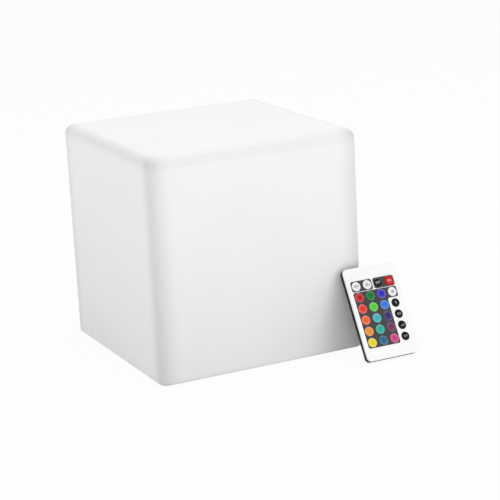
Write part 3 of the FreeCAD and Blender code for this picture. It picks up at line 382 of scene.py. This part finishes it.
# %% Colours of the keys and finishes of the frame's pieces
KEY_WHITE = tone(244, 244, 246)
KEY_BLACK = tone(14, 14, 15)
KEY_COLOURS = {
    "key_brighter": KEY_WHITE, "key_dimmer": KEY_WHITE,
    "key_off": KEY_BLACK, "key_on": tone(238, 44, 48),
    "key_red": tone(205, 22, 30), "key_green": tone(8, 128, 48),
    "key_blue": tone(44, 50, 196), "key_white": KEY_WHITE,
    "key_orange_red": tone(246, 54, 28), "key_light_green": tone(86, 214, 58),
    "key_sky_blue": tone(56, 124, 232), "key_flash": KEY_BLACK,
    "key_orange": tone(252, 104, 34), "key_cyan": tone(68, 186, 194),
    "key_violet": tone(66, 48, 112), "key_strobe": KEY_BLACK,
    "key_amber": tone(244, 152, 50), "key_teal": tone(40, 184, 162),
    "key_plum": tone(112, 60, 98), "key_fade": KEY_BLACK,
    "key_yellow": tone(242, 222, 36), "key_petrol": tone(34, 112, 146),
    "key_pink": tone(214, 68, 132), "key_smooth": KEY_BLACK,
}
SQUARE_KEY = "key_on"


def finishes():
    """A material for each group of the frame's nodes. The keys get theirs with their caps."""
    return {
        milky_wall(): ("cube_shell",),
        metal("insert_brass", tone(205, 170, 95)): ("shell_inserts",),
        silicone("grey_rubber", tone(120, 120, 124), rough=0.6):
            ("base_gasket", "dome_seal", "keypad_mat"),
        moulded("base_plastic", tone(224, 225, 226), rough=0.5, grain=1100.0,
                depth=0.05 * MM): ("base_cover",),
        metal("screw_steel", tone(188, 188, 192)):
            ("cover_screws", "dome_screws", "clamp_screws", "board_screws", "socket_nut",
             "flap_pin", "contact_domes", "coin_cell"),
        clear("clear_lens", tone(240, 244, 248)): ("lens_dome",),
        board("lamp_board", tone(232, 232, 228), tone(200, 190, 150)): ("led_board",),
        phosphor(): ("led_chips",),
        moulded("black_plastic", tone(34, 34, 36), rough=0.5):
            ("ir_receiver", "battery_clamp", "board_chips", "tact_switch", "switch_plunger",
             "charge_socket"),
        moulded("cell_wrap", tone(46, 96, 168), rough=0.3, grain=300.0): ("battery_cells",),
        board("circuit_board", tone(18, 92, 52), tone(120, 150, 90)):
            ("control_board", "remote_board"),
        moulded("button_plastic", tone(92, 93, 97), rough=0.4): ("power_button",),
        silicone("flap_rubber", tone(32, 32, 34), rough=0.55): ("port_flap",),
        silicone("red_lead", tone(184, 34, 32)): ("battery_leads",),
        silicone("black_lead", tone(34, 34, 36)): ("led_leads", "socket_leads"),
        moulded("remote_tub", tone(13, 13, 14), rough=0.4, shine=0.12):
            ("remote_back_shell", "battery_tray"),
        moulded("remote_face", tone(247, 247, 248), rough=0.3, grain=700.0):
            ("remote_front_shell",),
        moulded("overlay_print", tone(66, 63, 69), rough=0.4, grain=2000.0, shine=0.2):
            ("key_panel",),
        clear("emitter_lens", tone(70, 70, 96)): ("ir_emitter",),
    }


def dress(node, material):
    """Give a node of the frame its finish; its mesh stays as it is."""
    data = frame["nodes"][node].data
    if data.materials:
        frame["nodes"][node].material_slots[0].material = material
    else:
        data.materials.append(material)


dressed = 0
for material, nodes in finishes().items():
    for node in nodes:
        dress(node, material)
        dressed += 1
print("finishes given to", dressed, "nodes")

# %% [markdown]
# ## The remote's own directions
#
# The remote leans, so its keys are easiest to shape flat: across, up and out of its face. The
# frame's lifting joint points out of the face, and that gives all three directions. Every
# shape on the remote is worked out flat in these directions and then turned into place.

# %% Flat coordinates on the remote
face_out = np.array(next(j["axis"] for j in frame["joints"] if j["name"] == "remote_lift"))
across = np.array([1.0, 0.0, 0.0])
REMOTE = np.array([across, np.cross(face_out, across), face_out])


def flat_box(node):
    """Lowest and highest corner of a remote node in the remote's own directions."""
    data = frame["nodes"][node].data
    points = np.empty(len(data.vertices) * 3)
    data.vertices.foreach_get("co", points)
    flat = points.reshape(-1, 3) @ REMOTE.T
    return flat.min(0), flat.max(0)


print("the remote's face looks along", face_out.round(3))

# %% [markdown]
# ## Surfaces from grids
#
# A shape is a grid of points, worked out with whole arrays. One function joins the grid into
# four-sided faces, and can close it round its first direction, as a turned shape needs. A last
# point in the middle closes the pole.

# %% From a grid of points to a piece


def piece_from(name, points, faces, body, material, smooth=True):
    """A mesh object at the origin that rides on a body."""
    mesh = bpy.data.meshes.new(name)
    mesh.from_pydata(points.tolist(), [], faces)
    mesh.materials.append(material)
    if smooth:
        mesh.shade_smooth()
    piece = add_object(name, mesh)
    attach(piece, body)
    return piece


def grid_faces(rows, columns, closed=False, start=0):
    """Faces between neighbours of a rows by columns grid, and back to the first column."""
    row, column = np.meshgrid(np.arange(rows - 1), np.arange(columns if closed else columns - 1),
                              indexing="ij")
    after = (column + 1) % columns
    corners = [row * columns + column, row * columns + after,
               (row + 1) * columns + after, (row + 1) * columns + column]
    return (np.stack(corners, -1).reshape(-1, 4) + start).tolist()


def turned_over(faces):
    """The same faces, seen from their other side."""
    return [face[::-1] for face in faces]


# %% [markdown]
# ## Crowned keys
#
# A real key is a silicone cap with a crowned top that catches a round highlight. Its outline
# is a circle, or for one key a square with very round corners: both are the same curve, the
# superellipse, with another power. Going inwards, the top rises as a shallow dome. The skirt
# drops through the hole in the face to the wider lip that keeps the key in.

# %% The key caps
CROWN = 0.58 * MM
RIM_ROUND = 0.28 * MM
LIP_WIDE = 0.35 * MM
LIP_TALL = 0.33 * MM
ROUND_POWER, SQUARE_POWER = 2.0, 5.0
AROUND = 64
BEND_STEPS = 6
INWARD_STEPS = 9
LAST_RING = 0.06


def outline(radius, power, angle):
    """Superellipse: distance from the middle at an angle; power 2 is a circle."""
    far = np.abs(np.cos(angle)) ** power + np.abs(np.sin(angle)) ** power
    return radius / far ** (1 / power)


def crown_height(share):
    """Height of the top below its middle: a parabola on the share of the radius."""
    return -CROWN * share ** 2


def cap_profile(low, high, lip, radius):
    """Shares of the radius and levels of the rings, from the lip's foot to the last ring."""
    bend = np.linspace(0, np.pi / 2, BEND_STEPS)
    inward = np.linspace(1 - RIM_ROUND / radius, LAST_RING, INWARD_STEPS)[1:]
    shares = np.concatenate([[lip / radius, lip / radius, 1.0],
                             1 - (1 - np.cos(bend)) * RIM_ROUND / radius, inward])
    levels = np.concatenate([[low, low + LIP_TALL, low + LIP_TALL],
                             high - CROWN + (np.sin(bend) - 1) * RIM_ROUND,
                             high + crown_height(inward)])
    return shares, levels


def key_cap(name):
    """Skirt, rounded rim and crowned top, as rings of points that a pole closes at each end."""
    low, high = flat_box(name)
    middle = (low + high) / 2
    lip = (high[0] - low[0]) / 2
    radius = lip - LIP_WIDE
    power = SQUARE_POWER if name == SQUARE_KEY else ROUND_POWER
    shares, levels = cap_profile(low[2], high[2], lip, radius)
    angle = np.linspace(0, 2 * np.pi, AROUND, endpoint=False)
    reach = shares[:, None] * outline(radius, power, angle)[None, :]
    rings = np.stack([middle[0] + reach * np.cos(angle), middle[1] + reach * np.sin(angle),
                      np.repeat(levels[:, None], AROUND, 1)], -1)
    foot, top = (np.array([middle[0], middle[1], level]) for level in (low[2], high[2]))
    points = np.vstack([rings.reshape(-1, 3), foot, top])
    rows = len(levels)
    faces = grid_faces(rows, AROUND, closed=True)
    under, over, last = rows * AROUND, rows * AROUND + 1, (rows - 1) * AROUND
    faces += [[(i + 1) % AROUND, i, under] for i in range(AROUND)]
    faces += [[last + i, last + (i + 1) % AROUND, over] for i in range(AROUND)]
    slot = next(part["material_slot"] for part in frame["record"]["subparts"]
                if part["node"] == name)
    # The square key gets painted shade on its rim, the others a painted highlight.
    rubber = key_rubber(name + "_rubber", KEY_COLOURS[name], (top @ REMOTE).tolist(), radius,
                        painted_dark_rim=name == SQUARE_KEY)
    cap = piece_from(name + "_cap", points @ REMOTE, faces, name, rubber)
    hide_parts(name)
    return middle, high[2], radius


KEY_PLACES = {name: key_cap(name) for name in KEY_COLOURS}
print("crowned keys:", len(KEY_PLACES))

# %% [markdown]
# ## Pictograms
#
# The marks on the keys are printed. Each is a few strokes: lists of points in millimetres from
# the key's middle. A stroke becomes a ribbon, with its two edges half a width either side of
# the line, laid a hair above the crown. The sun with an arrow up or down stands for brighter
# and dimmer, and the four dark keys have generic signs for ways of changing light: a flash, a
# strobe, a fade and a smooth wave.

# %% Strokes and the marks made of them
STROKE = 0.34
STROKE_STEP = 0.25
INK_LIFT = 0.03 * MM
INK_THICK = 0.05 * MM
LETTER_HALF = 1.0
ARROW_HALF, ARROW_BARB_WIDE, ARROW_BARB_TALL = 1.1, 0.65, 0.7
SUN_RING, RAY_STARTS, RAY_ENDS = 0.62, 1.0, 1.45
WAVE_HALF, WAVE_TALL = 2.1, 0.85
BAR_PLACES, BAR_FOOT = (-1.5, -0.5, 0.5, 1.5), -1.1
FADE_TALL = (0.6, 1.1, 1.7, 2.2)
FLASH = ((0.5, 1.7), (-0.8, 0.1), (0.7, 0.1), (-0.4, -1.7))
SUN_LEFT, ARROW_RIGHT = -0.75, 1.75


def ring_stroke(x, wide, tall, count=28):
    """An ellipse about a point x beside the key's middle, from its two half widths."""
    angle = np.linspace(0, 2 * np.pi, count)
    return np.stack([x + wide * np.cos(angle), tall * np.sin(angle)], -1)


def sun(x, rays=8):
    """A small ring with short rays round it."""
    strokes = [ring_stroke(x, SUN_RING, SUN_RING, 20)]
    for angle in np.arange(rays) * 2 * np.pi / rays:
        way = np.array([math.cos(angle), math.sin(angle)])
        strokes.append(np.array([(x, 0.0) + way * RAY_STARTS, (x, 0.0) + way * RAY_ENDS]))
    return strokes


def arrow(x, way):
    """An upright arrow that points up for way 1 and down for way -1."""
    tip = way * ARROW_HALF
    barb = tip - way * ARROW_BARB_TALL
    return [np.array([(x, -tip), (x, tip)]),
            np.array([(x - ARROW_BARB_WIDE, barb), (x, tip), (x + ARROW_BARB_WIDE, barb)])]


def letters_on():
    """The word ON."""
    left, right = 0.35, 1.7
    return [ring_stroke(-1.15, 0.72, LETTER_HALF),
            np.array([(left, -LETTER_HALF), (left, LETTER_HALF),
                      (right, -LETTER_HALF), (right, LETTER_HALF)])]


def letters_off():
    """The word OFF."""
    strokes = [ring_stroke(-1.75, 0.66, LETTER_HALF)]
    for left in (-0.45, 1.25):
        strokes.append(np.array([(left, -LETTER_HALF), (left, LETTER_HALF),
                                 (left + 1.15, LETTER_HALF)]))
        strokes.append(np.array([(left, 0.05), (left + 0.95, 0.05)]))
    return strokes


def smooth_wave():
    """One and a half waves."""
    along = np.linspace(-WAVE_HALF, WAVE_HALF, 40)
    return [np.stack([along, WAVE_TALL * np.sin(along * 1.5 * np.pi / WAVE_HALF)], -1)]


def bars(tops):
    """Upright bars side by side, each from the same foot to its own top."""
    return [np.array([(x, BAR_FOOT), (x, top)]) for x, top in zip(BAR_PLACES, tops)]


MARKS = {
    "key_brighter": sun(SUN_LEFT) + arrow(ARROW_RIGHT, 1),
    "key_dimmer": sun(SUN_LEFT) + arrow(ARROW_RIGHT, -1),
    "key_on": letters_on(), "key_off": letters_off(),
    "key_white": sun(0.0, rays=12),
    "key_flash": [np.array(FLASH)],
    "key_strobe": bars([-BAR_FOOT] * len(BAR_PLACES)),
    "key_fade": bars([BAR_FOOT + tall for tall in FADE_TALL]),
    "key_smooth": smooth_wave(),
}


def subdivide(line):
    """Extra points along a stroke, so that a ribbon follows the crown under it."""
    far = np.concatenate([[0], np.cumsum(np.linalg.norm(np.diff(line, axis=0), axis=1))])
    along = np.unique(np.concatenate([far, np.arange(0, far[-1], STROKE_STEP)]))
    return np.stack([np.interp(along, far, line[:, i]) for i in range(2)], -1)


def ribbon(line, width):
    """Edges of a stroke: each point moved half a width across the line's local direction."""
    way = np.gradient(line, axis=0)
    way /= np.linalg.norm(way, axis=1, keepdims=True)
    side = np.stack([-way[:, 1], way[:, 0]], -1) * width / 2
    return np.stack([line - side, line + side], 1)


def print_strokes(name, strokes, width, lay, body, material):
    """One piece of printed ink: lay turns a ribbon's flat edges into points in space."""
    points, faces = [], []
    for line in strokes:
        edges = ribbon(subdivide(line), width) * MM
        faces += turned_over(grid_faces(len(edges), 2, start=sum(len(p) for p in points)))
        points.append(lay(edges).reshape(-1, 3))
    mark = piece_from(name, np.vstack(points), faces, body, material)
    ink = mark.modifiers.new("ink", "SOLIDIFY")
    ink.thickness, ink.offset = INK_THICK, -1.0


def print_mark(name, strokes, material):
    """A key's mark, laid on the crown of its cap."""
    middle, top, radius = KEY_PLACES[name]

    def on_crown(edges):
        share = np.linalg.norm(edges, axis=-1) / radius
        level = top + crown_height(share) + INK_LIFT
        return np.concatenate([edges + middle[:2], level[..., None]], -1) @ REMOTE

    print_strokes(name + "_mark", strokes, STROKE, on_crown, name, material)


pale_ink = moulded("pale_ink", tone(206, 206, 210), 0.5)
dark_ink = moulded("dark_ink", tone(96, 96, 100), 0.5)
for name, strokes in MARKS.items():
    if KEY_COLOURS[name] == KEY_WHITE:
        print_mark(name, strokes, dark_ink)
    else:
        print_mark(name, strokes, pale_ink)
print("printed marks:", len(MARKS))

# %% [markdown]
# ## The push button's symbol and the grip on the remote's back
#
# The push button faces down in the base, so its print lies on a flat face: a ring with a gap
# and a short bar, the common sign for power. On the back of the remote, three ribs and an
# arrow show the thumb which way the battery drawer comes out. A rib is a long bar with round
# ends, made as a stadium outline that shrinks as it rises.

# %% Power sign
BUTTON_LOW, BUTTON_HIGH = (np.array(corner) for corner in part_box("power_button"))
BUTTON_MIDDLE = (BUTTON_LOW + BUTTON_HIGH) / 2
SIGN_RADIUS, SIGN_STROKE = 2.1, 0.55
SIGN_STARTS, SIGN_ENDS = math.radians(122), math.radians(418)
SIGN_BAR = (0.7, 2.9)
MIRRORED = (-1, 1)


def power_sign():
    """A ring that is open at the top, and a bar in its gap, in millimetres."""
    turn = np.linspace(SIGN_STARTS, SIGN_ENDS, 40)
    return [np.stack([SIGN_RADIUS * np.cos(turn), SIGN_RADIUS * np.sin(turn)], -1),
            np.array([(0.0, end) for end in SIGN_BAR])]


def under_button(edges):
    """Edges on the button's lower face, mirrored, so that the sign reads from below."""
    level = np.full(edges.shape[:2] + (1,), BUTTON_LOW[2] - INK_LIFT)
    return np.concatenate([edges * MIRRORED + BUTTON_MIDDLE[:2], level], -1)


print_strokes("power_sign", power_sign(), SIGN_STROKE, under_button, "power_button", pale_ink)

# %% Ribs and arrow
BACK_LOW, BACK_HIGH = flat_box("remote_back_shell")
BACK_LEVEL = BACK_LOW[2]
BACK_MIDDLE = (BACK_LOW[0] + BACK_HIGH[0]) / 2
RIB_SUNK = 0.1 * MM
RIB_TALL = 0.3 * MM
RIB_PROFILE = ((1.0, -RIB_SUNK), (1.0, 0.35 * RIB_TALL), (0.86, 0.75 * RIB_TALL),
               (0.55, RIB_TALL))
RIB_WIDE, RIB_HALF = 0.9 * MM, 5 * MM
RIB_PLACES = (5.0 * MM, 6.8 * MM, 8.6 * MM)
ARROW_WIDE, ARROW_TAIL, ARROW_TIP = 0.8 * MM, 17 * MM, 12 * MM
ARROW_BARB = (2.2 * MM, 14.2 * MM)


def back_bar(start, end, wide):
    """Rings of a bar with round ends that stands out of the back, from its foot to its top."""
    start, end = np.array(start, float), np.array(end, float)
    way = (end - start) / np.linalg.norm(end - start)
    side = np.array([-way[1], way[0]])
    turn = np.linspace(0, np.pi, 9)
    half_circle = np.sin(turn)[:, None] * way + np.cos(turn)[:, None] * side
    rings = []
    for share, rise in RIB_PROFILE:
        reach = wide / 2 * share * half_circle
        stadium = np.vstack([end + reach, start - reach])
        level = np.full((len(stadium), 1), BACK_LEVEL - rise)
        rings.append(np.hstack([stadium, level]))
    return np.array(rings)


def grip():
    """Three ribs across the back and an arrow towards the drawer's opening."""
    low = BACK_LOW[1]
    bars_on_back = [((BACK_MIDDLE - RIB_HALF, low + y), (BACK_MIDDLE + RIB_HALF, low + y),
                     RIB_WIDE) for y in RIB_PLACES]
    tip = (BACK_MIDDLE, low + ARROW_TIP)
    barb_out, barb_up = ARROW_BARB
    for tail in ((BACK_MIDDLE, low + ARROW_TAIL), (BACK_MIDDLE - barb_out, low + barb_up),
                 (BACK_MIDDLE + barb_out, low + barb_up)):
        bars_on_back.append((tail, tip, ARROW_WIDE))
    points, faces = [], []
    for start, end, wide in bars_on_back:
        rings = back_bar(start, end, wide)
        rows, around = rings.shape[:2]
        first = sum(len(p) for p in points)
        last = first + (rows - 1) * around
        faces += turned_over(grid_faces(rows, around, closed=True, start=first))
        faces.append([first + i for i in range(around)])
        faces.append([last + i for i in reversed(range(around))])
        points.append(rings.reshape(-1, 3))
    return np.vstack(points), faces


grip_points, grip_surface = grip()
piece_from("drawer_grip", grip_points @ REMOTE, grip_surface, "remote",
           frame["nodes"]["remote_back_shell"].data.materials[0], smooth=False)
print("sign and grip made")

# %% [markdown]
# ## The floor, the backdrop and the light
#
# The photograph has a plain white ground. The floor shows the camera mostly white, with a
# little of its real shading left so that the object keeps a soft shadow. Light comes from a
# broad lamp above, a weaker one at the front on the right, a small one on the left, and an
# even white world.

# %% Floor, world and lamps
FLOOR_REACH = 6.0
FLOOR_WHITE = 0.94
WORLD_LEVEL = 0.72
WHITE = (1, 1, 1, 1)
CUBE_MIDDLE = (0.0, 0.0, 0.1)
NEARLY_UPRIGHT = 0.9

# Name: (place, width in metres, power in watts).
LAMPS = {
    "overhead": ((0.1, -0.1, 1.6), 1.4, 6.4),
    "front_right": ((0.9, -1.6, 0.7), 1.0, 5.6),
    "left": ((-1.5, -0.5, 1.0), 0.8, 2.8),
}


def seen_plainly(finish):
    """1 where the camera, a mirror or glass sees a surface directly, else 0."""
    rays = finish.node("ShaderNodeLightPath")
    seen = Number(finish, rays.outputs["Is Camera Ray"])
    for way in ("Is Glossy Ray", "Is Transmission Ray"):
        seen = seen.maths("MAXIMUM", Number(finish, rays.outputs[way]))
    return seen


def add_floor():
    """A wide white square under the object."""
    corners = np.array([(-1, -1, 0), (1, -1, 0), (1, 1, 0), (-1, 1, 0)]) * FLOOR_REACH
    mesh = bpy.data.meshes.new("floor")
    mesh.from_pydata(corners.tolist(), [], [(0, 1, 2, 3)])
    skin = Finish("floor_white", Base_Color=tone(235, 235, 235), Roughness=0.9)
    white = skin.node("ShaderNodeEmission", None, {"Color": WHITE, "Strength": 1.0})
    mix = skin.node("ShaderNodeMixShader", None,
                    {0: seen_plainly(skin) * FLOOR_WHITE, 1: skin.shader.outputs[0],
                     2: white.outputs[0]})
    output = next(n for n in skin.nodes if n.type == "OUTPUT_MATERIAL")
    skin.feed(output.inputs["Surface"], mix.outputs[0])
    mesh.materials.append(skin.material)
    add_object("floor", mesh)


def add_world(strength):
    """Even light of a strength, which the camera sees as plain white."""
    world = bpy.data.worlds.new("even_white")
    bpy.context.scene.world = world
    world.use_nodes = True
    nodes, links = world.node_tree.nodes, world.node_tree.links
    rays = nodes.new("ShaderNodeLightPath")
    level = nodes.new("ShaderNodeMapRange")
    level.inputs["To Min"].default_value = strength
    level.inputs["To Max"].default_value = 1.0
    links.new(rays.outputs["Is Camera Ray"], level.inputs["Value"])
    background = nodes["Background"]
    background.inputs["Color"].default_value = WHITE
    links.new(level.outputs["Result"], background.inputs["Strength"])


def add_lamp(name, place, target, width, power):
    """A square lamp at a place, turned to face a target."""
    data = bpy.data.lights.new(name, "AREA")
    data.size, data.energy = width, power
    back = np.array(place, float) - np.array(target, float)
    back /= np.linalg.norm(back)
    aside = (0.0, 1.0, 0.0) if abs(back[2]) > NEARLY_UPRIGHT else (0.0, 0.0, 1.0)
    right = np.cross(aside, back)
    right /= np.linalg.norm(right)
    add_object(name, data).matrix_world = placed(right, np.cross(back, right), back, place)


add_floor()
add_world(WORLD_LEVEL)
for name, (place, width, power) in LAMPS.items():
    add_lamp(name, place, CUBE_MIDDLE, width, power)
bpy.context.scene.view_settings.view_transform = "Standard"
print("lamps:", len(LAMPS))
